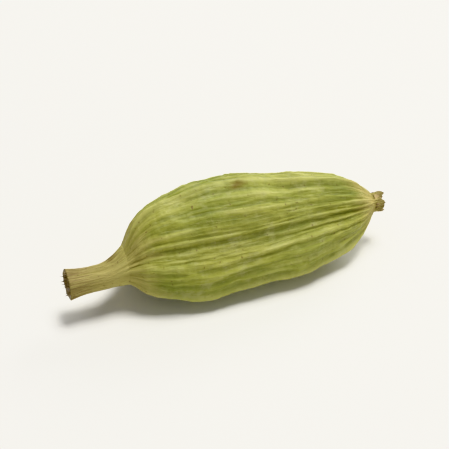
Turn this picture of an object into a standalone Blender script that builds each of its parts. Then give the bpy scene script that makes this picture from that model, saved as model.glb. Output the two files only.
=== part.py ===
# One dried green cardamom capsule, lying on one of its three faces.
# It grew as one piece: the stalk stub is at -X, the beak of the old flower at +X, and one of
# the three angles is on top. The surface is a loft of rings that stand square to X. Each ring
# is a rounded triangle, and its keels, furrows, ribs and seed swellings are raised by formulas.

import math

import bmesh
import bpy

MM = 0.001
TOP = 0.5 * math.pi

# Lengths along X, from the cut end of the stalk to the tip of the beak
STALK_LENGTH = 3.3 * MM
BODY_LENGTH = 14.5 * MM
BEAK_LENGTH = 0.5 * MM

# Mean radii, how blunt the body is and, with a skew under 1, how much nearer to the stalk it is
# widest. The stalk and the beak melt into the body over the share END_FADE of its length.
BODY_RADIUS = 2.97 * MM
STALK_RADIUS = 0.66 * MM
BEAK_RADIUS = 0.50 * MM
EGG_POWER = 0.50
EGG_SKEW = 0.78
END_FADE = 0.16
END_BLEND = 3.0

# The three-sided section: a share of the mean radius, and the relief on the angles and faces.
# Relief starts where the radius passes the stalk's and is full at this share of the body's.
ANGLE_SHARE = 0.105
KEEL_HEIGHT = 0.24 * MM
KEEL_SHARPNESS = 40
FURROW_DEPTH = 0.15 * MM
FURROW_SHARPNESS = 11
RELIEF_FROM = 0.9 * STALK_RADIUS
RELIEF_FULL = 0.55 * BODY_RADIUS

# How unequal the three lobes are, and how that turns along the body
UNEVEN_SHARE = 0.045
UNEVEN_PHASE = 1.1
UNEVEN_ALONG = 2.5

# Lengthwise ribs of the husk, an odd number to each of the three faces. Their height comes
# and goes around and along the body, and they wander.
RIB_COUNT = 27
RIB_HEIGHT = 0.066 * MM
RIB_FADE = 0.3
RIB_FADES_AROUND = 5.0
RIB_FADES_ALONG = 9.0
RIB_WANDER = 0.040
WANDER_ALONG = 7.0
WANDER_AROUND = 2.0

# Swellings of the husk over the seeds inside, as two waves along the body. Each wave is out
# of step from lobe to lobe, and both are weaker on the faces.
SWELL_HEIGHT = 0.080 * MM
SWELLS_ALONG = 2.3
SWELL_STAGGER = 2.2
SWELL_PHASE = 0.7
FINE_SWELL_SHARE = 0.45
FINE_SWELLS_ALONG = 5.1
FINE_SWELL_STAGGER = 3.1
FINE_SWELL_PHASE = 2.4
SWELL_ON_LOBES = 0.35

# How the dried capsule is out of true. The hook of the stalk starts inside the body and ends
# outside it, so the cut end runs along X again.
TWIST = math.radians(9)
BODY_BEND = 0.30 * MM
STALK_HOOK = 0.72 * MM
STALK_DROOP = 0.24 * MM
HOOK_INSIDE = 1.6 * MM
HOOK_OUTSIDE = 1.6 * MM

# The cut end of the stalk flares, it has a collar at the body, and the ends of stalk and beak
# are hollow in the middle. The beak's rim is torn into unequal teeth.
STALK_FLARE = 0.25
FLARE_FROM = 0.55
STALK_COLLAR = 0.55
COLLAR_WIDTH = 0.5
STALK_FLUTES = 5
STALK_FLUTE_SHARE = 0.08
STALK_HOLLOW = 0.10 * MM
BEAK_FLARE = 0.12
BEAK_RAGGED = 0.10 * MM
BEAK_TEETH = 5
BEAK_FINE_TEETH = 8
BEAK_FINE_SHARE = 0.7
BEAK_FINE_PHASE = 1.0
BEAK_HOLLOW = 0.18 * MM

# The small flat spot that it lies on. Ribs and furrows die out on the underside as its slope
# goes from one value to the other, and in the middle of the body's length.
REST_DEPTH = 0.155 * MM
REST_SLOPES = (0.74, 0.90)
REST_REACHES = (0.16, 0.27)

# Mesh density: rings along each stretch, and three points to a rib around
STALK_RINGS = 8
BODY_RINGS = 43
BEAK_RINGS = 4
AROUND = 3 * RIB_COUNT

HUSK_COLOUR = (0.36, 0.39, 0.085)
HUSK_ROUGHNESS = 0.62

RINGS = STALK_RINGS + BODY_RINGS + BEAK_RINGS
BODY_START = STALK_LENGTH
BODY_END = STALK_LENGTH + BODY_LENGTH


def ramp(value, low, high):
    return min(max((value - low) / (high - low), 0.0), 1.0)


def ease(value, low, high):
    share = ramp(value, low, high)
    return share * share * (3.0 - 2.0 * share)


def distance_at(ring):
    # Rings lie evenly on the stalk and the beak, and closer together at both ends of the body
    stalk = ramp(ring, 0, STALK_RINGS) * STALK_LENGTH
    turn = math.pi * ramp(ring, STALK_RINGS, STALK_RINGS + BODY_RINGS)
    body = 0.5 * (1.0 - math.cos(turn)) * BODY_LENGTH
    beak = ramp(ring, STALK_RINGS + BODY_RINGS, RINGS) * BEAK_LENGTH
    return stalk + body + beak


def radius_at(distance):
    # A blunt egg for the body, with the stalk and the beak blended into its ends
    share = ramp(distance, BODY_START, BODY_END)
    stalk_run = ramp(BODY_START - distance, 0.0, STALK_LENGTH)
    beak_run = ramp(distance, BODY_END, BODY_END + BEAK_LENGTH)
    skewed = share**EGG_SKEW
    egg = (4.0 * skewed * (1.0 - skewed)) ** EGG_POWER
    stalk = 1.0 + STALK_FLARE * ramp(stalk_run, FLARE_FROM, 1.0) ** 2
    stalk += STALK_COLLAR * (1.0 - ramp(stalk_run, 0.0, COLLAR_WIDTH)) ** 2
    stalk *= 1.0 - ease(share, 0.0, END_FADE)
    beak = 1.0 + BEAK_FLARE * beak_run
    beak *= ease(share, 1.0 - END_FADE, 1.0)
    parts = (BODY_RADIUS * egg, STALK_RADIUS * stalk, BEAK_RADIUS * beak)
    return sum(part**END_BLEND for part in parts) ** (1.0 / END_BLEND)


def swell_at(share, turn, lobe):
    # The two waves along this line of the husk
    slow = 2.0 * math.pi * SWELLS_ALONG * share + SWELL_STAGGER * math.sin(turn + SWELL_PHASE)
    fine = 2.0 * math.pi * FINE_SWELLS_ALONG * share
    fine += FINE_SWELL_STAGGER * math.sin(turn + FINE_SWELL_PHASE)
    waves = math.sin(slow) + FINE_SWELL_SHARE * math.sin(fine)
    return SWELL_HEIGHT * waves * (1.0 - SWELL_ON_LOBES + SWELL_ON_LOBES * lobe)


def relief_at(distance, turn, radius):
    # Everything that stands out of, or lies below, the mean radius at this point
    share = ramp(distance, BODY_START, BODY_END)
    lobe = math.cos(3.0 * (turn - TOP))
    on_body = ease(radius, RELIEF_FROM, RELIEF_FULL)
    form = ANGLE_SHARE * radius * lobe
    form += UNEVEN_SHARE * radius * math.sin(turn + UNEVEN_PHASE + UNEVEN_ALONG * share)
    keel = KEEL_HEIGHT * (0.5 + 0.5 * lobe) ** KEEL_SHARPNESS
    furrow = FURROW_DEPTH * (0.5 - 0.5 * lobe) ** FURROW_SHARPNESS
    rib = RIB_HEIGHT * math.cos(RIB_COUNT * (turn - TOP))
    fades = math.sin(RIB_FADES_AROUND * turn + RIB_FADES_ALONG * share)
    rib *= 1.0 - RIB_FADE + RIB_FADE * fades
    low = ease(-math.sin(turn), *REST_SLOPES)
    pressed = low * (1.0 - ease(abs(share - 0.5), *REST_REACHES))
    detail = (keel - furrow + rib + swell_at(share, turn, lobe)) * (1.0 - pressed)
    flute = STALK_FLUTE_SHARE * radius * math.cos(STALK_FLUTES * turn)
    return (form + detail) * on_body + flute * (1.0 - on_body)


def point_at(ring, step):
    distance = distance_at(ring)
    share = ramp(distance, BODY_START, BODY_END)
    turn = 2.0 * math.pi * step / AROUND
    radius = radius_at(distance)
    reach = radius + relief_at(distance, turn, radius)
    angle = turn + TWIST * (share - 0.5)
    angle += RIB_WANDER * math.sin(WANDER_ALONG * share + WANDER_AROUND * turn)
    beak_run = ramp(distance, BODY_END, BODY_END + BEAK_LENGTH)
    teeth = math.sin(BEAK_TEETH * turn)
    teeth += BEAK_FINE_SHARE * math.sin(BEAK_FINE_TEETH * turn + BEAK_FINE_PHASE)
    x = distance + BEAK_RAGGED * beak_run * teeth
    hook = ease(BODY_START - distance, -HOOK_INSIDE, HOOK_OUTSIDE)
    y = BODY_BEND * math.sin(math.pi * share) - STALK_HOOK * hook
    z = -STALK_DROOP * hook
    return x, y + reach * math.cos(angle), z + reach * math.sin(angle)


def middle_of(ring, hollow):
    # The point that closes an end ring, sunk into it
    corners = [point_at(ring, step) for step in range(AROUND)]
    x, y, z = (sum(values) / AROUND for values in zip(*corners))
    return x + hollow, y, z


def build_capsule():
    mesh = bmesh.new()
    rings = [
        [mesh.verts.new(point_at(ring, step)) for step in range(AROUND)]
        for ring in range(RINGS + 1)
    ]
    for near, far in zip(rings, rings[1:]):
        for step in range(AROUND):
            after = (step + 1) % AROUND
            mesh.faces.new((near[step], far[step], far[after], near[after]))
    stalk_end = mesh.verts.new(middle_of(0, STALK_HOLLOW))
    beak_end = mesh.verts.new(middle_of(RINGS, -BEAK_HOLLOW))
    for step in range(AROUND):
        after = (step + 1) % AROUND
        mesh.faces.new((stalk_end, rings[0][step], rings[0][after]))
        mesh.faces.new((beak_end, rings[-1][after], rings[-1][step]))
    return mesh


def press_flat(mesh):
    # The lowest part of the underside becomes one level spot
    ground = min(corner.co.z for corner in mesh.verts) + REST_DEPTH
    for corner in mesh.verts:
        corner.co.z = max(corner.co.z, ground)


def centre_on_base(mesh):
    # The origin goes to the middle of the base of the bounding box
    def middle(values):
        return 0.5 * (min(values) + max(values))

    x = middle([corner.co.x for corner in mesh.verts])
    y = middle([corner.co.y for corner in mesh.verts])
    z = min(corner.co.z for corner in mesh.verts)
    bmesh.ops.translate(mesh, verts=mesh.verts, vec=(-x, -y, -z))


def husk_material():
    material = bpy.data.materials.new("dried_cardamom_husk")
    material.use_nodes = True
    shader = material.node_tree.nodes["Principled BSDF"]
    shader.inputs["Base Color"].default_value = (*HUSK_COLOUR, 1.0)
    shader.inputs["Roughness"].default_value = HUSK_ROUGHNESS
    shader.inputs["Metallic"].default_value = 0.0
    return material


def clear_scene():
    for old in list(bpy.data.objects):
        bpy.data.objects.remove(old, do_unlink=True)


def main():
    clear_scene()
    capsule = build_capsule()
    press_flat(capsule)
    centre_on_base(capsule)
    bmesh.ops.triangulate(capsule, faces=capsule.faces)
    bmesh.ops.recalc_face_normals(capsule, faces=capsule.faces)
    data = bpy.data.meshes.new("cardamom_pod")
    capsule.to_mesh(data)
    capsule.free()
    data.shade_smooth()
    data.set_sharp_from_angle(angle=math.radians(60))
    data.materials.append(husk_material())
    pod = bpy.data.objects.new("cardamom_pod", data)
    bpy.context.scene.collection.objects.link(pod)


main()
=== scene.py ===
# A dried green cardamom pod on pale paper, close up. X runs from the stalk to the beak.
# Lengths are in metres, written as millimetres times mm. Sizes of patterns are in millimetres.
import math

import bpy
from mathutils import Matrix, Vector


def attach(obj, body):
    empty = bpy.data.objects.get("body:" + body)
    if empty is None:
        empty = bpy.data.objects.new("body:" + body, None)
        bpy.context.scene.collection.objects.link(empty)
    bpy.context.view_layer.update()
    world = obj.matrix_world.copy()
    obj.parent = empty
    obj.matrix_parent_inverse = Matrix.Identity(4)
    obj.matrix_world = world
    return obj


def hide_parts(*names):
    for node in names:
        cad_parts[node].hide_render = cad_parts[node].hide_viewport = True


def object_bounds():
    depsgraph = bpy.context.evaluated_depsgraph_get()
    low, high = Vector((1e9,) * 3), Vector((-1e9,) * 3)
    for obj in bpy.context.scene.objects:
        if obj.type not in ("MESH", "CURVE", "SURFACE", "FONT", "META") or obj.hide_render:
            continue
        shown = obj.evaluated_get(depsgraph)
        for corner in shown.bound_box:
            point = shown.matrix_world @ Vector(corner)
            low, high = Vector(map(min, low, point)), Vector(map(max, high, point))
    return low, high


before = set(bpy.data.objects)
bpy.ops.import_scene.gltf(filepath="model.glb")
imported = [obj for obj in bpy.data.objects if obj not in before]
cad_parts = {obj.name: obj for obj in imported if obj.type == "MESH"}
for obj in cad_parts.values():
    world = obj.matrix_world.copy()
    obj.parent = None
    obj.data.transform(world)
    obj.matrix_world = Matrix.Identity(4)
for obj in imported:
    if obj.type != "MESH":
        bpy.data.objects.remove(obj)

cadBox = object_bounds()
mm = 0.001
mathNode = "ShaderNodeMath"
vectorNode = "ShaderNodeVectorMath"
joinNode = "ShaderNodeCombineXYZ"
rangeNode = "ShaderNodeMapRange"
noiseNode = "ShaderNodeTexNoise"
randomNode = "FunctionNodeRandomValue"
moveNode = "GeometryNodeSetPosition"


def addNode(tree, kind, inputs=(), output=0, **settings):
    # one node with its settings; inputs go in order or by name, and the wanted output comes back
    node = tree.nodes.new(kind)
    for name, value in settings.items():
        setattr(node, name, value)
    for key, value in inputs.items() if isinstance(inputs, dict) else enumerate(inputs):
        if isinstance(value, bpy.types.NodeSocket):
            tree.links.new(value, node.inputs[key])
        elif value is not None:
            node.inputs[key].default_value = value
    return node.outputs[output] if node.outputs else node


def linear(hexColour):
    # sRGB hex to the linear colour that the nodes work in
    channels = [int(hexColour[i:i + 2], 16) / 255 for i in (1, 3, 5)]
    return [c / 12.92 if c <= 0.04045 else ((c + 0.055) / 1.055) ** 2.4 for c in channels] + [1.0]


def newTree(name, form):
    # an empty Geometry Nodes tree whose inputs are the entries of the piece's dictionary
    tree = bpy.data.node_groups.new(name, "GeometryNodeTree")
    tree.interface.new_socket(name="Geometry", in_out="OUTPUT", socket_type="NodeSocketGeometry")
    sockets = {int: "NodeSocketInt", float: "NodeSocketFloat", tuple: "NodeSocketVector"}
    for label, value in form.items():
        tree.interface.new_socket(name=label, in_out="INPUT", socket_type=sockets[type(value)])
    given = tree.nodes.new("NodeGroupInput").outputs
    return tree, {label: given[label] for label in form}


def endTree(tree, geometry, material):
    # every tree ends in real geometry with its material
    geometry = addNode(tree, "GeometryNodeSetShadeSmooth", [geometry])
    geometry = addNode(tree, "GeometryNodeRealizeInstances", [geometry])
    geometry = addNode(tree, "GeometryNodeSetMaterial", {"Geometry": geometry, "Material": material})
    addNode(tree, "NodeGroupOutput", [geometry])


def growMesh(name, tree, form):
    # runs a tree on an empty object and keeps the result as a plain mesh
    grown = bpy.data.objects.new(name, bpy.data.meshes.new(name))
    bpy.context.scene.collection.objects.link(grown)
    modifier = grown.modifiers.new("grow", "NODES")
    modifier.node_group = tree
    for item in tree.interface.items_tree:
        if item.in_out == "INPUT":
            modifier[item.identifier] = form[item.name]
    bpy.context.view_layer.update()
    evaluated = grown.evaluated_get(bpy.context.evaluated_depsgraph_get())
    mesh = bpy.data.meshes.new_from_object(evaluated)
    grown.modifiers.remove(modifier)
    grown.data = mesh
    print(name, "has", len(mesh.polygons), "faces")
    return grown


def grainOn(tree, flow, size, low=-1.0, high=1.0, detail=2.0):
    # noise with grains of the given size along, around and around the capsule, from low to high
    place = addNode(tree, vectorNode, [flow, size], operation="DIVIDE")
    grain = addNode(tree, noiseNode, {"Vector": place, "Scale": 1.0, "Detail": detail})
    return addNode(tree, rangeNode, [grain, 0.25, 0.75, low, high])


def strandsOn(tree, flow, size, width):
    # raised lines that wander along the capsule, branch and join again: 1 on a line, else 0
    place = addNode(tree, vectorNode, [flow, size], operation="DIVIDE")
    level = addNode(tree, noiseNode, {"Vector": place, "Scale": 1.0, "Detail": 1.0})
    level = addNode(tree, mathNode, [level, 0.5], operation="SUBTRACT")
    level = addNode(tree, mathNode, [level], operation="ABSOLUTE")
    return addNode(tree, rangeNode, [level, 0.0, width, 1.0, 0.0], interpolation_type="SMOOTHSTEP")


def waveOn(tree, turn, turns, share, along, phase):
    # the sine of turns * turn + along * share + phase
    inner = addNode(tree, mathNode, [turn, turns, phase], operation="MULTIPLY_ADD")
    inner = addNode(tree, mathNode, [share, along, inner], operation="MULTIPLY_ADD")
    return addNode(tree, mathNode, [inner], operation="SINE")


# the capsule: how fine its mesh is, the driving sizes of the solid that it dresses, and then
# what the skin adds to them
capsule = {
    "around": 297,
    "rings": 316,
    "capRings": 7,
    "stalkRings": 36,
    "beakRings": 20,
    "stalkLength": 3.3 * mm,
    "bodyLength": 14.5 * mm,
    "beakLength": 0.5 * mm,
    "bodyRadius": 2.97 * mm,
    "stalkRadius": 0.66 * mm,
    "beakRadius": 0.50 * mm,
    "eggPower": 0.50,
    "eggSkew": 0.78,               # under 1, so it is widest nearer to the stalk
    "endFade": 0.16,
    "endBlend": 3.0,
    "angleShare": 0.105,
    "unevenShare": 0.045,
    "unevenAlong": 2.5,
    "unevenPhase": 1.1,
    "keelHeight": 0.24 * mm,
    "keelSharpness": 40.0,
    "furrowDepth": 0.15 * mm,
    "furrowSharpness": 11.0,
    "reliefFrom": 0.594 * mm,      # radius where relief starts, and where it is full
    "reliefFull": 1.634 * mm,
    "ribCount": 27.0,
    "ribHeight": 0.066 * mm,
    "ribWander": 0.040,            # radians that all ribs sway together
    "swayTurns": 2.0,
    "swayAlong": 7.0,
    "swellHeight": 0.080 * mm,
    "swellsAlong": 2.3,
    "swellStagger": 2.2,
    "swellPhase": 0.7,
    "fineSwellShare": 0.45,
    "fineSwellsAlong": 5.1,
    "fineSwellStagger": 3.1,
    "fineSwellPhase": 2.4,
    "swellOnLobes": 0.35,
    "twist": math.radians(9),
    "bodyBend": 0.30 * mm,
    "stalkHook": 0.72 * mm,
    "stalkDroop": 0.24 * mm,
    "hookInside": 1.6 * mm,        # the hook starts inside the body and ends outside it
    "hookOutside": 1.6 * mm,
    "stalkFlare": 0.25,
    "flareFrom": 0.55,
    "stalkCollar": 0.55,
    "collarWidth": 0.5,
    "flutes": 5.0,
    "fluteShare": 0.08,
    "stalkHollow": 0.10 * mm,
    "beakFlare": 0.12,
    "beakRagged": 0.10 * mm,
    "beakHollow": 0.18 * mm,
    "teeth": 5.0,                  # two sets of teeth around the rim of the beak
    "fineTeeth": 8.0,
    "fineTeethShare": 0.7,
    "fineTeethPhase": 1.0,
    "restDepth": 0.155 * mm,
    "restSlopeFrom": 0.74,         # relief dies out as the underside turns level
    "restSlopeTo": 0.90,
    "restReachFrom": 0.16,         # and in the middle of the length
    "restReachTo": 0.27,
    "shoulderEase": 1.0,           # takes the crease out of where the body leaves the stalk
    "shoulderReach": 0.9 * mm,
    "flowScale": (1 / mm, 3.4, 3.4),  # to millimetres along, and around at about the skin's radius
    "crestGain": 2.2,              # a rib is its crest line times this, plus the base
    "crestBase": -0.75,
    "ribDrift": 1.6,               # radians that a rib strays from even spacing
    "driftSize": (10.0, 2.2, 2.2),
    "ribFadeSize": (5.9, 0.67, 0.67),
    "ribFadeLow": 0.15,            # how strong a rib is where it fades, and where it is fullest
    "ribFadeHigh": 1.35,
    "slowTurns": 5.0,              # a slower change in strength around and along the body
    "slowAlong": 9.0,
    "slowSwing": 0.3,
    "slowMean": 0.7,
    "strandHeight": 0.045 * mm,    # strands that branch and join between the ribs
    "strandSize": (6.2, 0.67, 0.67),
    "strandWidth": 0.075,
    "strandCrest": 0.45,           # how much a strand counts as a crest in the colours
    "fibreHeight": 0.026 * mm,     # finer fibres on top of them
    "fibreSize": (2.5, 0.29, 0.29),
    "fibreWidth": 0.10,
    "dentDepth": 0.11 * mm,        # broad hollows where the husk dried in
    "dentSize": (3.3, 2.5, 2.5),
    "crinkleHeight": 0.080 * mm,   # papery unevenness
    "crinkleSize": (0.83, 0.43, 0.43),
    "crossHeight": 0.046 * mm,     # short wrinkles across the ribs
    "crossSize": (0.29, 0.91, 0.91),
    "woodHeight": 0.090 * mm,      # grain of the stalk and the beak
    "woodSize": (2.0, 0.62, 0.62),
}


def capsuleStretches(tree, form, ringShare):
    # how far along each ring is: even on the stalk and the beak, closer together at the body's ends
    stalkShare = addNode(tree, mathNode, [form["stalkRings"], form["rings"]], operation="DIVIDE")
    beakShare = addNode(tree, mathNode, [form["beakRings"], form["rings"]], operation="DIVIDE")
    beakShare = addNode(tree, mathNode, [1.0, beakShare], operation="SUBTRACT")
    stalkRun = addNode(tree, rangeNode, [ringShare, 0.0, stalkShare, 1.0, 0.0])
    beakRun = addNode(tree, rangeNode, [ringShare, beakShare, 1.0, 0.0, 1.0])
    halfTurn = addNode(tree, rangeNode, [ringShare, stalkShare, beakShare, 0.0, math.pi])
    cosine = addNode(tree, mathNode, [halfTurn], operation="COSINE")
    share = addNode(tree, mathNode, [cosine, -0.5, 0.5], operation="MULTIPLY_ADD")
    stalkLeft = addNode(tree, mathNode, [1.0, stalkRun], operation="SUBTRACT")
    distance = addNode(tree, mathNode, [stalkLeft, form["stalkLength"]], operation="MULTIPLY")
    distance = addNode(tree, mathNode, [share, form["bodyLength"], distance], operation="MULTIPLY_ADD")
    distance = addNode(tree, mathNode, [beakRun, form["beakLength"], distance], operation="MULTIPLY_ADD")
    return stalkRun, share, beakRun, distance


def capsuleRadius(tree, form, stalkRun, share, beakRun):
    # a blunt egg
    skewed = addNode(tree, mathNode, [share, form["eggSkew"]], operation="POWER")
    rest = addNode(tree, mathNode, [1.0, skewed], operation="SUBTRACT")
    egg = addNode(tree, mathNode, [skewed, rest], operation="MULTIPLY")
    egg = addNode(tree, mathNode, [egg, 4.0], operation="MULTIPLY")
    egg = addNode(tree, mathNode, [egg, 0.0], operation="MAXIMUM")
    egg = addNode(tree, mathNode, [egg, form["eggPower"]], operation="POWER")
    egg = addNode(tree, mathNode, [egg, form["bodyRadius"]], operation="MULTIPLY")
    # the stalk, with its collar at the body and its flare at the cut
    flare = addNode(tree, rangeNode, [stalkRun, form["flareFrom"], 1.0, 0.0, 1.0])
    flare = addNode(tree, mathNode, [flare, 2.0], operation="POWER")
    stalk = addNode(tree, mathNode, [flare, form["stalkFlare"], 1.0], operation="MULTIPLY_ADD")
    collar = addNode(tree, rangeNode, [stalkRun, 0.0, form["collarWidth"], 1.0, 0.0])
    collar = addNode(tree, mathNode, [collar, 2.0], operation="POWER")
    stalk = addNode(tree, mathNode, [collar, form["stalkCollar"], stalk], operation="MULTIPLY_ADD")
    fade = addNode(tree, rangeNode, [share, 0.0, form["endFade"], 1.0, 0.0],
                   interpolation_type="SMOOTHSTEP")
    stalk = addNode(tree, mathNode, [stalk, fade], operation="MULTIPLY")
    stalk = addNode(tree, mathNode, [stalk, form["stalkRadius"]], operation="MULTIPLY")
    # the beak
    beak = addNode(tree, mathNode, [beakRun, form["beakFlare"], 1.0], operation="MULTIPLY_ADD")
    fadeFrom = addNode(tree, mathNode, [1.0, form["endFade"]], operation="SUBTRACT")
    rise = addNode(tree, rangeNode, [share, fadeFrom, 1.0, 0.0, 1.0],
                   interpolation_type="SMOOTHSTEP")
    beak = addNode(tree, mathNode, [beak, rise], operation="MULTIPLY")
    beak = addNode(tree, mathNode, [beak, form["beakRadius"]], operation="MULTIPLY")
    # all three blend into each other
    total = 0.0
    for part in (egg, stalk, beak):
        power = addNode(tree, mathNode, [part, form["endBlend"]], operation="POWER")
        total = addNode(tree, mathNode, [power, total], operation="ADD")
    root = addNode(tree, mathNode, [1.0, form["endBlend"]], operation="DIVIDE")
    radius = addNode(tree, mathNode, [total, root], operation="POWER")
    # the body starts out of the stalk more gently, with no crease between them
    apart = addNode(tree, mathNode, [share, form["bodyLength"]], operation="MULTIPLY")
    near = addNode(tree, rangeNode, [apart, 0.0, form["shoulderReach"], 1.0, 0.0])
    ease = addNode(tree, mathNode, [near, 2.0], operation="POWER")
    ease = addNode(tree, mathNode, [ease, apart], operation="MULTIPLY")
    ease = addNode(tree, mathNode, [ease, form["shoulderEase"]], operation="MULTIPLY")
    return addNode(tree, mathNode, [radius, ease], operation="SUBTRACT")


def capsuleRibs(tree, form, turn, share, flow):
    # ribs stray from even spacing, fade and come back, and have a narrow crest
    drift = grainOn(tree, flow, form["driftSize"])
    drift = addNode(tree, mathNode, [drift, form["ribDrift"]], operation="MULTIPLY")
    ribTurn = addNode(tree, mathNode, [turn, form["ribCount"], drift], operation="MULTIPLY_ADD")
    wave = addNode(tree, mathNode, [ribTurn], operation="SINE")
    wave = addNode(tree, mathNode, [wave, -0.5, 0.5], operation="MULTIPLY_ADD")
    crest = addNode(tree, mathNode, [wave, 2.0], operation="POWER")
    force = grainOn(tree, flow, form["ribFadeSize"], form["ribFadeLow"], form["ribFadeHigh"])
    slow = waveOn(tree, turn, form["slowTurns"], share, form["slowAlong"], 0.0)
    slow = addNode(tree, mathNode, [slow, form["slowSwing"], form["slowMean"]], operation="MULTIPLY_ADD")
    force = addNode(tree, mathNode, [force, slow], operation="MULTIPLY")
    rib = addNode(tree, mathNode, [crest, form["crestGain"], form["crestBase"]], operation="MULTIPLY_ADD")
    rib = addNode(tree, mathNode, [rib, force], operation="MULTIPLY")
    rib = addNode(tree, mathNode, [rib, form["ribHeight"]], operation="MULTIPLY")
    return rib, addNode(tree, mathNode, [crest, force], operation="MULTIPLY")


def capsuleSwells(tree, form, turn, share, lobe):
    # two unlike waves along the body where seeds push the husk out, weaker on the faces
    swell = 0.0
    for along, stagger, phase, height in (
        ("swellsAlong", "swellStagger", "swellPhase", 1.0),
        ("fineSwellsAlong", "fineSwellStagger", "fineSwellPhase", form["fineSwellShare"]),
    ):
        lag = waveOn(tree, turn, 1.0, share, 0.0, form[phase])
        lag = addNode(tree, mathNode, [lag, form[stagger]], operation="MULTIPLY")
        waves = addNode(tree, mathNode, [form[along], 2.0 * math.pi], operation="MULTIPLY")
        wave = waveOn(tree, share, waves, share, 0.0, lag)
        swell = addNode(tree, mathNode, [wave, height, swell], operation="MULTIPLY_ADD")
    onFaces = addNode(tree, mathNode, [1.0, form["swellOnLobes"]], operation="SUBTRACT")
    onLobes = addNode(tree, mathNode, [lobe, form["swellOnLobes"], onFaces], operation="MULTIPLY_ADD")
    swell = addNode(tree, mathNode, [swell, onLobes], operation="MULTIPLY")
    return addNode(tree, mathNode, [swell, form["swellHeight"]], operation="MULTIPLY")


def capsuleRelief(tree, form, turn, share, radius, flow):
    # what stands out of the egg: angles, keels, furrows, ribs and swellings, then the skin
    lobe = waveOn(tree, turn, -3.0, share, 0.0, 0.0)
    uneven = waveOn(tree, turn, 1.0, share, form["unevenAlong"], form["unevenPhase"])
    uneven = addNode(tree, mathNode, [uneven, form["unevenShare"]], operation="MULTIPLY")
    angles = addNode(tree, mathNode, [lobe, form["angleShare"], uneven], operation="MULTIPLY_ADD")
    angles = addNode(tree, mathNode, [angles, radius], operation="MULTIPLY")
    outer = addNode(tree, mathNode, [lobe, 0.5, 0.5], operation="MULTIPLY_ADD")
    inner = addNode(tree, mathNode, [lobe, -0.5, 0.5], operation="MULTIPLY_ADD")
    keelLine = addNode(tree, mathNode, [outer, form["keelSharpness"]], operation="POWER")
    furrowLine = addNode(tree, mathNode, [inner, form["furrowSharpness"]], operation="POWER")
    rib, crestLine = capsuleRibs(tree, form, turn, share, flow)
    hollow = addNode(tree, mathNode, [furrowLine, form["furrowDepth"]], operation="MULTIPLY")
    detail = addNode(tree, mathNode, [keelLine, form["keelHeight"], rib], operation="MULTIPLY_ADD")
    detail = addNode(tree, mathNode, [detail, hollow], operation="SUBTRACT")
    swell = capsuleSwells(tree, form, turn, share, lobe)
    detail = addNode(tree, mathNode, [detail, swell], operation="ADD")
    strands = strandsOn(tree, flow, form["strandSize"], form["strandWidth"])
    for pattern, height in (
        (strands, "strandHeight"),
        (strandsOn(tree, flow, form["fibreSize"], form["fibreWidth"]), "fibreHeight"),
        (grainOn(tree, flow, form["dentSize"], -0.5, 0.5), "dentDepth"),
        (grainOn(tree, flow, form["crinkleSize"], -0.5, 0.5, detail=5.0), "crinkleHeight"),
        (grainOn(tree, flow, form["crossSize"], -0.5, 0.5), "crossHeight"),
    ):
        detail = addNode(tree, mathNode, [pattern, form[height], detail], operation="MULTIPLY_ADD")
    # all of it dies out where the husk is pressed flat on the table
    down = waveOn(tree, turn, -1.0, share, 0.0, 0.0)
    low = addNode(tree, rangeNode, [down, form["restSlopeFrom"], form["restSlopeTo"], 0.0, 1.0],
                  interpolation_type="SMOOTHSTEP")
    middle = addNode(tree, mathNode, [share, 0.5], operation="SUBTRACT")
    middle = addNode(tree, mathNode, [middle], operation="ABSOLUTE")
    middle = addNode(tree, rangeNode, [middle, form["restReachFrom"], form["restReachTo"], 1.0, 0.0],
                     interpolation_type="SMOOTHSTEP")
    free = addNode(tree, mathNode, [low, middle], operation="MULTIPLY")
    free = addNode(tree, mathNode, [1.0, free], operation="SUBTRACT")
    body = addNode(tree, mathNode, [detail, free, angles], operation="MULTIPLY_ADD")
    # flutes and woody grain take over on the stalk and the beak
    onBody = addNode(tree, rangeNode, [radius, form["reliefFrom"], form["reliefFull"], 0.0, 1.0],
                     interpolation_type="SMOOTHSTEP")
    offBody = addNode(tree, mathNode, [1.0, onBody], operation="SUBTRACT")
    flute = waveOn(tree, turn, form["flutes"], share, 0.0, math.pi / 2)
    flute = addNode(tree, mathNode, [flute, form["fluteShare"]], operation="MULTIPLY")
    flute = addNode(tree, mathNode, [flute, radius], operation="MULTIPLY")
    wood = grainOn(tree, flow, form["woodSize"], -0.5, 0.5, detail=3.0)
    wood = addNode(tree, mathNode, [wood, form["woodHeight"], flute], operation="MULTIPLY_ADD")
    body = addNode(tree, mathNode, [body, onBody], operation="MULTIPLY")
    relief = addNode(tree, mathNode, [wood, offBody, body], operation="MULTIPLY_ADD")
    crestLine = addNode(tree, mathNode, [strands, form["strandCrest"], crestLine], operation="MULTIPLY_ADD")
    return relief, crestLine, keelLine, furrowLine


def capsuleMiddle(tree, form, share, distance):
    # the line through the middles of the rings: the body bends, the stalk hooks and droops
    bow = waveOn(tree, share, math.pi, share, 0.0, 0.0)
    hookFrom = addNode(tree, mathNode, [form["stalkLength"], form["hookInside"]], operation="ADD")
    hookTo = addNode(tree, mathNode, [form["stalkLength"], form["hookOutside"]], operation="SUBTRACT")
    hook = addNode(tree, rangeNode, [distance, hookFrom, hookTo, 0.0, 1.0],
                   interpolation_type="SMOOTHSTEP")
    side = addNode(tree, mathNode, [hook, form["stalkHook"]], operation="MULTIPLY")
    y = addNode(tree, mathNode, [bow, form["bodyBend"]], operation="MULTIPLY")
    y = addNode(tree, mathNode, [y, side], operation="SUBTRACT")
    z = addNode(tree, mathNode, [hook, form["stalkDroop"]], operation="MULTIPLY")
    z = addNode(tree, mathNode, [z, -1.0], operation="MULTIPLY")
    return y, z


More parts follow.
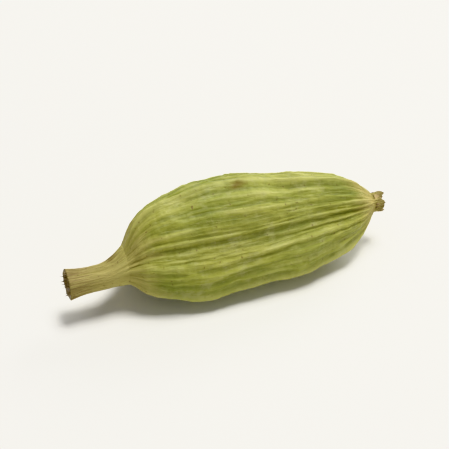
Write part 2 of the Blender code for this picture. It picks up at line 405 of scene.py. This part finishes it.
def capsuleEnds(tree, form, turn, share, rim, stalkRun, beakRun, distance):
    # the torn rim of the beak, and the hollows in both end faces
    teeth = waveOn(tree, turn, form["teeth"], share, 0.0, 0.0)
    fineTeeth = waveOn(tree, turn, form["fineTeeth"], share, 0.0, form["fineTeethPhase"])
    teeth = addNode(tree, mathNode, [fineTeeth, form["fineTeethShare"], teeth], operation="MULTIPLY_ADD")
    teeth = addNode(tree, mathNode, [teeth, beakRun], operation="MULTIPLY")
    teeth = addNode(tree, mathNode, [teeth, rim], operation="MULTIPLY")
    x = addNode(tree, mathNode, [teeth, form["beakRagged"], distance], operation="MULTIPLY_ADD")
    sunk = addNode(tree, mathNode, [rim, rim], operation="MULTIPLY")
    sunk = addNode(tree, mathNode, [1.0, sunk], operation="SUBTRACT")
    stalkSunk = addNode(tree, mathNode, [form["stalkHollow"], stalkRun], operation="MULTIPLY")
    beakSunk = addNode(tree, mathNode, [form["beakHollow"], beakRun], operation="MULTIPLY")
    sinkBy = addNode(tree, mathNode, [stalkSunk, beakSunk], operation="SUBTRACT")
    return addNode(tree, mathNode, [sunk, sinkBy, x], operation="MULTIPLY_ADD")


def setOnTable(tree, form, shell):
    # presses the underside flat, and brings the middle of the base to the origin
    lowest = addNode(tree, "GeometryNodeBoundBox", [shell], output="Min")
    highest = lowest.node.outputs["Max"]
    ground = addNode(tree, "ShaderNodeSeparateXYZ", [lowest], output="Z")
    ground = addNode(tree, mathNode, [ground, form["restDepth"]], operation="ADD")
    here = addNode(tree, "GeometryNodeInputPosition")
    plane = addNode(tree, joinNode, [-1.0, -1.0, ground])
    pressed = addNode(tree, vectorNode, [here, plane], operation="MAXIMUM")
    shell = addNode(tree, moveNode, {"Geometry": shell, "Position": pressed})
    middle = addNode(tree, vectorNode, [lowest, highest], operation="ADD")
    middle = addNode(tree, vectorNode, [middle, (-0.5, -0.5, 0.0)], operation="MULTIPLY")
    drop = addNode(tree, joinNode, [0.0, 0.0, ground])
    shift = addNode(tree, vectorNode, [middle, drop], operation="SUBTRACT")
    return addNode(tree, moveNode, {"Geometry": shell, "Offset": shift})


def capsuleTree(material):
    tree, form = newTree("cardamomCapsule", capsule)
    # a closed cylinder along Z gives each point its ring, its turn and, on the caps, its rim share
    shell = addNode(tree, "GeometryNodeMeshCylinder", [
        form["around"], form["rings"], form["capRings"], 1.0, 1.0], fill_type="TRIANGLE_FAN")
    start = addNode(tree, "GeometryNodeInputPosition")
    across = addNode(tree, "ShaderNodeSeparateXYZ", [start], output="X")
    turn = addNode(tree, mathNode, [across.node.outputs["Y"], across], operation="ARCTAN2")
    ringShare = addNode(tree, mathNode, [across.node.outputs["Z"], 0.5], operation="ADD")
    flat = addNode(tree, vectorNode, [start, (1.0, 1.0, 0.0)], operation="MULTIPLY")
    rim = addNode(tree, vectorNode, [flat], output="Value", operation="LENGTH")
    stalkRun, share, beakRun, distance = capsuleStretches(tree, form, ringShare)
    radius = capsuleRadius(tree, form, stalkRun, share, beakRun)
    # flow is a place in millimetres that runs with the ribs, and has no seam
    cosine = addNode(tree, mathNode, [turn], operation="COSINE")
    sine = addNode(tree, mathNode, [turn], operation="SINE")
    flow = addNode(tree, joinNode, [distance, cosine, sine])
    flow = addNode(tree, vectorNode, [flow, form["flowScale"]], operation="MULTIPLY")
    relief, crest, keel, furrow = capsuleRelief(tree, form, turn, share, radius, flow)
    # what the material reads
    lines = addNode(tree, joinNode, [crest, keel, furrow])
    place = addNode(tree, joinNode, [share, stalkRun, beakRun])
    cut = addNode(tree, mathNode, [1.0, rim], operation="SUBTRACT")
    for name, value, kind in (
        ("huskFlow", flow, "FLOAT_VECTOR"), ("huskLines", lines, "FLOAT_VECTOR"),
        ("huskPlace", place, "FLOAT_VECTOR"), ("cutFace", cut, "FLOAT"),
    ):
        shell = addNode(tree, "GeometryNodeStoreNamedAttribute", {
            "Geometry": shell, "Name": name, "Value": value}, data_type=kind, domain="POINT")
    # each point goes to its place on the capsule
    reach = addNode(tree, mathNode, [radius, relief], operation="ADD")
    reach = addNode(tree, mathNode, [reach, rim], operation="MULTIPLY")
    sway = waveOn(tree, turn, form["swayTurns"], share, form["swayAlong"], 0.0)
    angle = addNode(tree, mathNode, [sway, form["ribWander"], turn], operation="MULTIPLY_ADD")
    fromMiddle = addNode(tree, mathNode, [share, 0.5], operation="SUBTRACT")
    angle = addNode(tree, mathNode, [fromMiddle, form["twist"], angle], operation="MULTIPLY_ADD")
    x = capsuleEnds(tree, form, turn, share, rim, stalkRun, beakRun, distance)
    y, z = capsuleMiddle(tree, form, share, distance)
    cosine = addNode(tree, mathNode, [angle], operation="COSINE")
    sine = addNode(tree, mathNode, [angle], operation="SINE")
    y = addNode(tree, mathNode, [reach, cosine, y], operation="MULTIPLY_ADD")
    z = addNode(tree, mathNode, [reach, sine, z], operation="MULTIPLY_ADD")
    spot = addNode(tree, joinNode, [x, y, z])
    shell = addNode(tree, moveNode, {"Geometry": shell, "Position": spot})
    endTree(tree, setOnTable(tree, form, shell), material)
    return tree


# colours, pattern sizes and finish of the husk, its stalk and its beak
huskLook = {
    "green": "#7F873A",
    "yellow": "#9D9C49",
    # a darker green for streaks, fibres and mottle, and also painted shade in the hollows between the ribs
    # and in the furrows
    "deepAndShade": "#575E28",
    "straw": "#B7B46B",
    "bloom": "#A6A46F",
    "apex": "#AA9C5C",
    "stalk": "#ADA262",
    "stalkEnd": "#988952",
    "brown": "#78653F",
    "rust": "#725E2E",
    "speck": "#5E4226",
    "cut": "#86724F",
    "patchSize": (6.2, 3.3, 3.3),
    "streakSize": (6.2, 0.59, 0.59),
    "fibreSize": (1.4, 0.14, 0.14),     # drawn twice as wide as real fibres, so that they show
    "mottleSize": (0.53, 0.38, 0.38),
    "edgeSize": (2.9, 0.62, 0.62),
    "waxSize": (1.25, 0.5, 0.5),
    "grainSize": (0.9, 0.17, 0.17),
    "wornLeast": 0.20,             # wear of the keels, and what the patches add to it
    "wornByPatch": 0.5,
    "bloomSize": 0.9,
    "bloomRoughness": 0.72,
    "bloomFibre": 0.14,
    "edgeStray": 0.06,             # share of the body by which the dry ends stray along a strand
    "speckSize": 0.22,
    "raggedSize": 0.55,
    "raggedReach": (0.7, 0.7, 0.7),
    "rustSpacing": (3.4, 2.2, 2.2),
    "rustShare": 0.30,
    "rustShift": (6.8, 13.5, 5.5),
    "rustStreak": 0.20,
    "roughness": (0.46, 0.68),     # where the wax is whole, and where it has gone
    "ior": 1.45,
    "specular": 0.4,
    "crumpleSize": 0.38,
    "crumpleShare": 0.7,
    "bumpStrength": 0.9,
    "reliefDepth": 0.05 * mm,
}


def driedHusk():
    # A dried cardamom husk: papery fibre with a faint wax, so it is matt with a soft, broad shine.
    # The ribs have bleached towards straw; the hollows between the ribs and the furrows down the faces are
    # darkened with painted shade.
    material = bpy.data.materials.new("driedCardamomHusk")
    material.use_nodes = True
    tree = material.node_tree
    shader = tree.nodes["Principled BSDF"]
    look = huskLook
    flow = addNode(tree, "ShaderNodeAttribute", output="Vector", attribute_name="huskFlow")
    lines = addNode(tree, "ShaderNodeAttribute", output="Vector", attribute_name="huskLines")
    place = addNode(tree, "ShaderNodeAttribute", output="Vector", attribute_name="huskPlace")
    cut = addNode(tree, "ShaderNodeAttribute", output="Fac", attribute_name="cutFace")
    crest = addNode(tree, "ShaderNodeSeparateXYZ", [lines], output="X")
    keel, furrow = crest.node.outputs["Y"], crest.node.outputs["Z"]
    share = addNode(tree, "ShaderNodeSeparateXYZ", [place], output="X")
    stalkRun, beakRun = share.node.outputs["Y"], share.node.outputs["Z"]
    spot = addNode(tree, "ShaderNodeTexCoord", output="Object")
    inMm = addNode(tree, vectorNode, [spot, (1 / mm, 1 / mm, 1 / mm)], operation="MULTIPLY")
    patch = grainOn(tree, flow, look["patchSize"], 0.0, 1.0, detail=4.0)
    streak = grainOn(tree, flow, look["streakSize"], 0.0, 1.0, detail=4.0)
    fibre = grainOn(tree, flow, look["fibreSize"], 0.0, 1.0)
    mottle = grainOn(tree, flow, look["mottleSize"], 0.0, 1.0, detail=5.0)
    # the keels are worn, more in some places
    worn = addNode(tree, mathNode, [patch, look["wornByPatch"], look["wornLeast"]], operation="MULTIPLY_ADD")
    worn = addNode(tree, mathNode, [keel, worn], operation="MULTIPLY")
    # a dull bloom in blotches, as on husks that have rubbed together
    bloom = addNode(tree, noiseNode, {
        "Vector": inMm, "Scale": 1 / look["bloomSize"],
        "Detail": 7.0, "Roughness": look["bloomRoughness"]})
    bloom = addNode(tree, mathNode, [fibre, look["bloomFibre"], bloom], operation="MULTIPLY_ADD")
    # both ends dry to straw and tan, further along some strands than others
    edge = grainOn(tree, flow, look["edgeSize"], -look["edgeStray"], look["edgeStray"], detail=4.0)
    along = addNode(tree, mathNode, [share, edge], operation="ADD")
    stalkFibre = addNode(tree, mathNode, [stalkRun, streak], operation="MULTIPLY")
    stalkTip = addNode(tree, mathNode, [stalkRun, fibre], operation="MULTIPLY")
    beakTip = addNode(tree, mathNode, [beakRun, fibre], operation="MULTIPLY")
    # rust spots under a millimetre across, in some of the cells only, with ragged edges
    ragged = addNode(tree, noiseNode, {
        "Vector": inMm, "Scale": 1 / look["raggedSize"], "Detail": 5.0}, output="Color")
    cells = addNode(tree, vectorNode, [ragged, look["raggedReach"], inMm], operation="MULTIPLY_ADD")
    cells = addNode(tree, vectorNode, [cells, look["rustShift"]], operation="ADD")
    cells = addNode(tree, vectorNode, [cells, look["rustSpacing"]], operation="DIVIDE")
    rust = addNode(tree, "ShaderNodeTexVoronoi", {"Vector": cells, "Scale": 1.0})
    chosen = addNode(tree, "ShaderNodeSeparateXYZ", [rust.node.outputs["Color"]], output="X")
    chosen = addNode(tree, mathNode, [chosen, look["rustShare"]], operation="LESS_THAN")
    rust = addNode(tree, mathNode, [rust, chosen], operation="SUBTRACT")
    rust = addNode(tree, mathNode, [streak, look["rustStreak"], rust], operation="MULTIPLY_ADD")
    speck = addNode(tree, noiseNode, {
        "Vector": inMm, "Scale": 1 / look["speckSize"], "Detail": 2.0})
    # each layer lies over the ones before it: pattern, its start and end, strength there, colour
    colour = linear(look["green"])
    for pattern, start, end, least, most, tone in (
        (patch, 0.0, 1.0, 0.0, 1.0, "yellow"),
        (streak, 0.50, 0.0, 0.0, 0.36, "deepAndShade"),
        (streak, 0.55, 1.0, 0.0, 0.32, "straw"),
        (fibre, 0.45, 0.0, 0.0, 0.35, "deepAndShade"),
        (fibre, 0.60, 1.0, 0.0, 0.35, "straw"),
        (mottle, 0.45, 0.0, 0.0, 0.30, "deepAndShade"),
        (mottle, 0.55, 1.0, 0.0, 0.26, "straw"),
        # painted shade: darker down between the ribs and along the furrows, where shade falls
        (crest, 0.45, 0.0, 0.0, 0.36, "deepAndShade"),
        (crest, 0.35, 1.4, 0.0, 0.55, "straw"),
        (furrow, 0.1, 1.0, 0.0, 0.28, "deepAndShade"),
        (worn, 0.0, 1.0, 0.0, 1.0, "straw"),
        (bloom, 0.58, 0.76, 0.0, 0.36, "bloom"),
        (along, 0.14, 0.0, 0.0, 0.80, "stalk"),
        (along, 0.88, 1.0, 0.0, 0.90, "apex"),
        (stalkRun, 0.0, 0.35, 0.0, 1.0, "stalk"),
        (stalkFibre, 0.0, 0.60, 0.0, 0.80, "stalkEnd"),
        (stalkTip, 0.20, 0.70, 0.0, 0.90, "brown"),
        (beakTip, 0.0, 0.80, 0.0, 0.90, "brown"),
        (cut, 0.0, 0.25, 0.0, 1.0, "cut"),
        (rust, -0.84, -0.68, 0.70, 0.0, "rust"),
        (rust, -0.92, -0.80, 0.50, 0.0, "speck"),
        (speck, 0.67, 0.75, 0.0, 0.60, "speck"),
    ):
        amount = addNode(tree, rangeNode, [pattern, start, end, least, most],
                         interpolation_type="SMOOTHSTEP")
        colour = addNode(tree, "ShaderNodeMix", {0: amount, 6: colour, 7: linear(look[tone])},
                         output=2, data_type="RGBA")
    tree.links.new(colour, shader.inputs["Base Color"])
    # a faint wax in places, dull fibre in others
    dull = grainOn(tree, flow, look["waxSize"], *look["roughness"], detail=3.0)
    tree.links.new(dull, shader.inputs["Roughness"])
    shader.inputs["IOR"].default_value = look["ior"]
    shader.inputs["Specular IOR Level"].default_value = look["specular"]
    # the grain of the fibre, and a papery crumple over it
    grain = grainOn(tree, flow, look["grainSize"], 0.0, 1.0, detail=4.0)
    crumple = addNode(tree, noiseNode, {
        "Vector": inMm, "Scale": 1 / look["crumpleSize"], "Detail": 4.0})
    grain = addNode(tree, mathNode, [crumple, look["crumpleShare"], grain], operation="MULTIPLY_ADD")
    bump = addNode(tree, "ShaderNodeBump", {
        "Strength": look["bumpStrength"], "Distance": look["reliefDepth"], "Height": grain})
    tree.links.new(bump, shader.inputs["Normal"])
    return material


bladeForm = {"sides": 8, "rings": 14, "capRings": 1, "thinnest": 0.10}


def bladeOn(tree, width, thickness, bend, fullness, tip):
    # a closed, tapering blade one unit long, from its root at the origin up along Z, bent to +X
    blade = addNode(tree, "GeometryNodeMeshCylinder", [
        bladeForm["sides"], bladeForm["rings"], bladeForm["capRings"], 1.0, 1.0], fill_type="TRIANGLE_FAN")
    start = addNode(tree, "GeometryNodeInputPosition")
    across = addNode(tree, "ShaderNodeSeparateXYZ", [start], output="X")
    run = addNode(tree, mathNode, [across.node.outputs["Z"], 0.5], operation="ADD")
    taper = addNode(tree, mathNode, [run, fullness], operation="POWER")
    taper = addNode(tree, mathNode, [1.0, taper], operation="SUBTRACT")
    taper = addNode(tree, mathNode, [taper, 0.0], operation="MAXIMUM")
    taper = addNode(tree, mathNode, [taper, tip], operation="POWER")
    taper = addNode(tree, mathNode, [taper, bladeForm["thinnest"]], operation="MAXIMUM")
    x = addNode(tree, mathNode, [across, taper], operation="MULTIPLY")
    x = addNode(tree, mathNode, [x, thickness], operation="MULTIPLY")
    curve = addNode(tree, mathNode, [run, 2.0], operation="POWER")
    x = addNode(tree, mathNode, [curve, bend, x], operation="MULTIPLY_ADD")
    y = addNode(tree, mathNode, [across.node.outputs["Y"], taper], operation="MULTIPLY")
    y = addNode(tree, mathNode, [y, width], operation="MULTIPLY")
    blade = addNode(tree, "GeometryNodeStoreNamedAttribute", {
        "Geometry": blade, "Name": "bladeRun", "Value": run}, data_type="FLOAT", domain="POINT")
    spot = addNode(tree, joinNode, [x, y, run])
    return addNode(tree, moveNode, {"Geometry": blade, "Position": spot})


# split fibres that stand out of the stalk where it was picked
stalkFray = {
    "fibreCount": 34,
    "seed": 5,
    "cutRadius": 0.66 * mm,
    "fibreRadius": 0.045 * mm,
    "shortest": 0.20 * mm,
    "longest": 0.42 * mm,
    "innermost": 0.1,
    "thinnest": 0.5,               # times fibreRadius
    "thickest": 1.2,
    "spread": 0.45,                # radians that the outermost fibres lean out, and how they stray
    "leanFrom": -0.25,
    "leanTo": 0.25,
    "fullness": 1.4,
    "tip": 0.6,
}

# the withered flower: thin papery scales around the rim of the beak
beakScales = {
    "scaleCount": 7,
    "seed": 11,
    "rimRadius": 0.47 * mm,
    "scaleWidth": 0.24 * mm,
    "scaleThickness": 0.035 * mm,
    "curl": -0.12 * mm,
    "shortest": 0.40 * mm,
    "longest": 0.66 * mm,
    "narrowest": 0.7,              # times scaleWidth
    "widest": 1.1,
    "strayFrom": -0.3,             # share of the even spacing by which a scale strays
    "strayTo": 0.3,
    "turnFrom": -0.4,              # radians that a scale turns from facing outwards
    "turnTo": 0.4,
    "flare": 0.22,                 # radians of lean, times the share that is drawn
    "leanFrom": -0.25,
    "leanTo": 0.5,
    "fullness": 2.4,
    "tip": 0.8,
    "crumple": 0.10 * mm,
    "crumpleSize": 0.62,           # in millimetres
}


def drawsOn(tree, seed, ranges):
    # one random number for each range, each from a seed of its own
    draws = []
    for step, (low, high) in enumerate(ranges):
        ownSeed = addNode(tree, mathNode, [seed, float(step)], operation="ADD")
        draws.append(addNode(tree, randomNode, {2: low, 3: high, "Seed": ownSeed}, output=1))
    return draws


def ringPoints(tree, count, turn, radius):
    # points around Z, at the given turn and radius
    x = addNode(tree, mathNode, [turn], operation="COSINE")
    y = addNode(tree, mathNode, [turn], operation="SINE")
    spot = addNode(tree, joinNode, [x, y, 0.0])
    spot = addNode(tree, vectorNode, {"Vector": spot, "Scale": radius}, operation="SCALE")
    return addNode(tree, "GeometryNodePoints", [count, spot])


def frayTree(material):
    tree, form = newTree("stalkFray", stalkFray)
    turn, share, leanMore, length, thick = drawsOn(tree, form["seed"], (
        (0.0, 2 * math.pi),
        (form["innermost"], 1.0),
        (form["leanFrom"], form["leanTo"]),
        (form["shortest"], form["longest"]),
        (form["thinnest"], form["thickest"]),
    ))
    share = addNode(tree, mathNode, [share, 0.5], operation="POWER")
    radius = addNode(tree, mathNode, [share, form["cutRadius"]], operation="MULTIPLY")
    points = ringPoints(tree, form["fibreCount"], turn, radius)
    lean = addNode(tree, mathNode, [share, form["spread"], leanMore], operation="MULTIPLY_ADD")
    fibres = addNode(tree, "GeometryNodeInstanceOnPoints", {
        "Points": points,
        "Instance": bladeOn(
            tree, form["fibreRadius"], form["fibreRadius"], 0.0, form["fullness"], form["tip"]),
        "Rotation": addNode(tree, joinNode, [0.0, lean, turn]),
        "Scale": addNode(tree, joinNode, [thick, thick, length]),
    })
    endTree(tree, fibres, material)
    return tree


def scalesTree(material):
    tree, form = newTree("beakScales", beakScales)
    stray, lean, turnMore, length, wide = drawsOn(tree, form["seed"], (
        (form["strayFrom"], form["strayTo"]),
        (form["leanFrom"], form["leanTo"]),
        (form["turnFrom"], form["turnTo"]),
        (form["shortest"], form["longest"]),
        (form["narrowest"], form["widest"]),
    ))
    order = addNode(tree, "GeometryNodeInputIndex")
    turn = addNode(tree, mathNode, [order, stray], operation="ADD")
    turn = addNode(tree, mathNode, [turn, form["scaleCount"]], operation="DIVIDE")
    turn = addNode(tree, mathNode, [turn, 2 * math.pi], operation="MULTIPLY")
    points = ringPoints(tree, form["scaleCount"], turn, form["rimRadius"])
    lean = addNode(tree, mathNode, [lean, form["flare"]], operation="MULTIPLY")
    facing = addNode(tree, mathNode, [turn, turnMore], operation="ADD")
    scales = addNode(tree, "GeometryNodeInstanceOnPoints", {
        "Points": points,
        "Instance": bladeOn(
            tree, form["scaleWidth"], form["scaleThickness"], form["curl"], form["fullness"], form["tip"]),
        "Rotation": addNode(tree, joinNode, [0.0, lean, facing]),
        "Scale": addNode(tree, joinNode, [1.0, wide, length]),
    })
    # papery crumple, which grows from the root to the tip
    scales = addNode(tree, "GeometryNodeRealizeInstances", [scales])
    here = addNode(tree, "GeometryNodeInputPosition")
    grains = addNode(tree, mathNode, [1 / mm, form["crumpleSize"]], operation="DIVIDE")
    push = addNode(tree, noiseNode, {"Vector": here, "Scale": grains, "Detail": 2.0}, output="Color")
    push = addNode(tree, vectorNode, [push, (0.5, 0.5, 0.5)], operation="SUBTRACT")
    run = addNode(tree, "GeometryNodeInputNamedAttribute", {"Name": "bladeRun"}, data_type="FLOAT")
    force = addNode(tree, mathNode, [run, form["crumple"]], operation="MULTIPLY")
    push = addNode(tree, vectorNode, {"Vector": push, "Scale": force}, operation="SCALE")
    scales = addNode(tree, moveNode, {"Geometry": scales, "Offset": push})
    endTree(tree, scales, material)
    return tree


# how the small pieces sit on the end faces; huskPlace holds the run along the stalk and the beak
endFit = {
    "stalkRun": 1,
    "beakRun": 2,
    "endFrom": 0.995,
    "neckFrom": 0.55,              # this stretch of the run gives the direction
    "neckTo": 0.75,
    "fibresSunk": 0.12 * mm,
    "scalesSunk": 0.34 * mm,
}


def setOnEnd(piece, husk, which, sunk):
    # the piece was made along Z at the origin; its mesh goes to the end face of stalk or beak
    ends, necks = [], []
    for corner, place in zip(husk.data.vertices, husk.data.attributes["huskPlace"].data):
        run = place.vector[which]
        if run > endFit["endFrom"]:
            ends.append(corner.co)
        elif endFit["neckFrom"] < run < endFit["neckTo"]:
            necks.append(corner.co)
    end = sum(ends, Vector()) / len(ends)
    neck = sum(necks, Vector()) / len(necks)
    outward = (end - neck).normalized()
    turn = outward.to_track_quat("Z", "Y").to_matrix().to_4x4()
    piece.data.transform(Matrix.Translation(end - outward * sunk) @ turn)


# the finish of the split fibres and of the withered petals
fibreLook = {
    "pale": "#AC9862",
    "brown": "#77633F",
    "tip": "#5C4A32",
    "grainSize": (0.8, 0.25, 0.25),
    "smoothest": 0.6,
    "roughest": 0.85,
    "bumpStrength": 0.5,
    "reliefDepth": 0.02 * mm,
}


def dryFibre(name):
    # Woody fibre and dead petal: dry and matt, pale at the root and browner to the tip.
    material = bpy.data.materials.new(name)
    material.use_nodes = True
    tree = material.node_tree
    shader = tree.nodes["Principled BSDF"]
    spot = addNode(tree, "ShaderNodeTexCoord", output="Object")
    inMm = addNode(tree, vectorNode, [spot, (1 / mm, 1 / mm, 1 / mm)], operation="MULTIPLY")
    grain = grainOn(tree, inMm, fibreLook["grainSize"], 0.0, 1.0, detail=3.0)
    run = addNode(tree, "ShaderNodeAttribute", output="Fac", attribute_name="bladeRun")
    colour = linear(fibreLook["pale"])
    for pattern, start, end, most, tone in (
        (grain, 0.2, 0.8, 1.0, "brown"),
        (run, 0.5, 1.0, 0.7, "tip"),
    ):
        amount = addNode(tree, rangeNode, [pattern, start, end, 0.0, most])
        colour = addNode(tree, "ShaderNodeMix", {0: amount, 6: colour, 7: linear(fibreLook[tone])},
                         output=2, data_type="RGBA")
    tree.links.new(colour, shader.inputs["Base Color"])
    rough = addNode(tree, rangeNode, [grain, 0.0, 1.0, fibreLook["smoothest"], fibreLook["roughest"]])
    tree.links.new(rough, shader.inputs["Roughness"])
    bump = addNode(tree, "ShaderNodeBump", {
        "Strength": fibreLook["bumpStrength"], "Distance": fibreLook["reliefDepth"], "Height": grain})
    tree.links.new(bump, shader.inputs["Normal"])
    return material


# camera, lights and table
studio = {
    "lens": 135.0,
    "sensor": 36.0,
    "frameWidth": 24.5 * mm,
    "azimuth": -19.0,              # degrees
    "elevation": 41.0,
    "nearest": 5 * mm,             # what the camera can see
    "furthest": 5.0,
    "paper": "#E9E7E1",
    "paperRoughness": 0.8,
    "paperSize": 1.6,
    "paperDrop": 0.01 * mm,        # just under the pod, so that the two faces don't fight
    "roomLight": 0.31,
    "softboxes": {      # place, size and power
        "key": ((0.06, 0.02, 0.28), (0.12, 0.10), 0.92),
        "rim": ((0.20, 0.16, 0.15), (0.12, 0.10), 0.45),
        "fill": ((0.16, -0.28, 0.05), (0.24, 0.10), 0.30),
    },
}


def placeCamera(target):
    azimuth, elevation = math.radians(studio["azimuth"]), math.radians(studio["elevation"])
    away = Vector((
        math.sin(azimuth) * math.cos(elevation),
        -math.cos(azimuth) * math.cos(elevation),
        math.sin(elevation),
    ))
    data = bpy.data.cameras.new("camera")
    data.lens, data.sensor_width = studio["lens"], studio["sensor"]
    data.clip_start, data.clip_end = studio["nearest"], studio["furthest"]
    camera = bpy.data.objects.new("camera", data)
    camera.location = target + away * studio["frameWidth"] * studio["lens"] / studio["sensor"]
    camera.rotation_euler = away.to_track_quat("Z", "Y").to_euler()
    bpy.context.scene.collection.objects.link(camera)
    bpy.context.scene.camera = camera


def paleTable():
    # Matt paper: it gives back soft light and has no shine of its own.
    material = bpy.data.materials.new("mattPaper")
    material.use_nodes = True
    shader = material.node_tree.nodes["Principled BSDF"]
    shader.inputs["Base Color"].default_value = linear(studio["paper"])
    shader.inputs["Roughness"].default_value = studio["paperRoughness"]
    bpy.ops.mesh.primitive_plane_add(size=studio["paperSize"], location=(0.0, 0.0, -studio["paperDrop"]))
    table = bpy.context.active_object
    table.name = "table"
    table.data.materials.append(material)


def lightStudio(target):
    for name, (place, size, power) in studio["softboxes"].items():
        data = bpy.data.lights.new(name, "AREA")
        data.shape = "RECTANGLE"
        data.size, data.size_y = size
        data.energy = power
        light = bpy.data.objects.new(name, data)
        light.location = place
        light.rotation_euler = (Vector(place) - target).to_track_quat("Z", "Y").to_euler()
        bpy.context.scene.collection.objects.link(light)
    world = bpy.data.worlds.new("paleRoom")
    world.use_nodes = True
    world.node_tree.nodes["Background"].inputs["Color"].default_value = (1.0, 1.0, 1.0, 1.0)
    world.node_tree.nodes["Background"].inputs["Strength"].default_value = studio["roomLight"]
    bpy.context.scene.world = world
    bpy.context.scene.view_settings.view_transform = "Khronos PBR Neutral"


def main():
    target = Vector([(low + high) / 2 for low, high in zip(*cadBox)])
    placeCamera(target)
    print("camera placed")
    husk = growMesh("capsuleHusk", capsuleTree(driedHusk()), capsule)
    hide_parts("cardamom_pod")
    fray = growMesh("stalkFibres", frayTree(dryFibre("splitStalkFibre")), stalkFray)
    setOnEnd(fray, husk, endFit["stalkRun"], endFit["fibresSunk"])
    scales = growMesh("beakPetals", scalesTree(dryFibre("witheredPetal")), beakScales)
    setOnEnd(scales, husk, endFit["beakRun"], endFit["scalesSunk"])
    for piece in (husk, fray, scales):
        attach(piece, "root")
    print("husk and both ends dressed")
    paleTable()
    lightStudio(target)
    print("studio lit")


main()
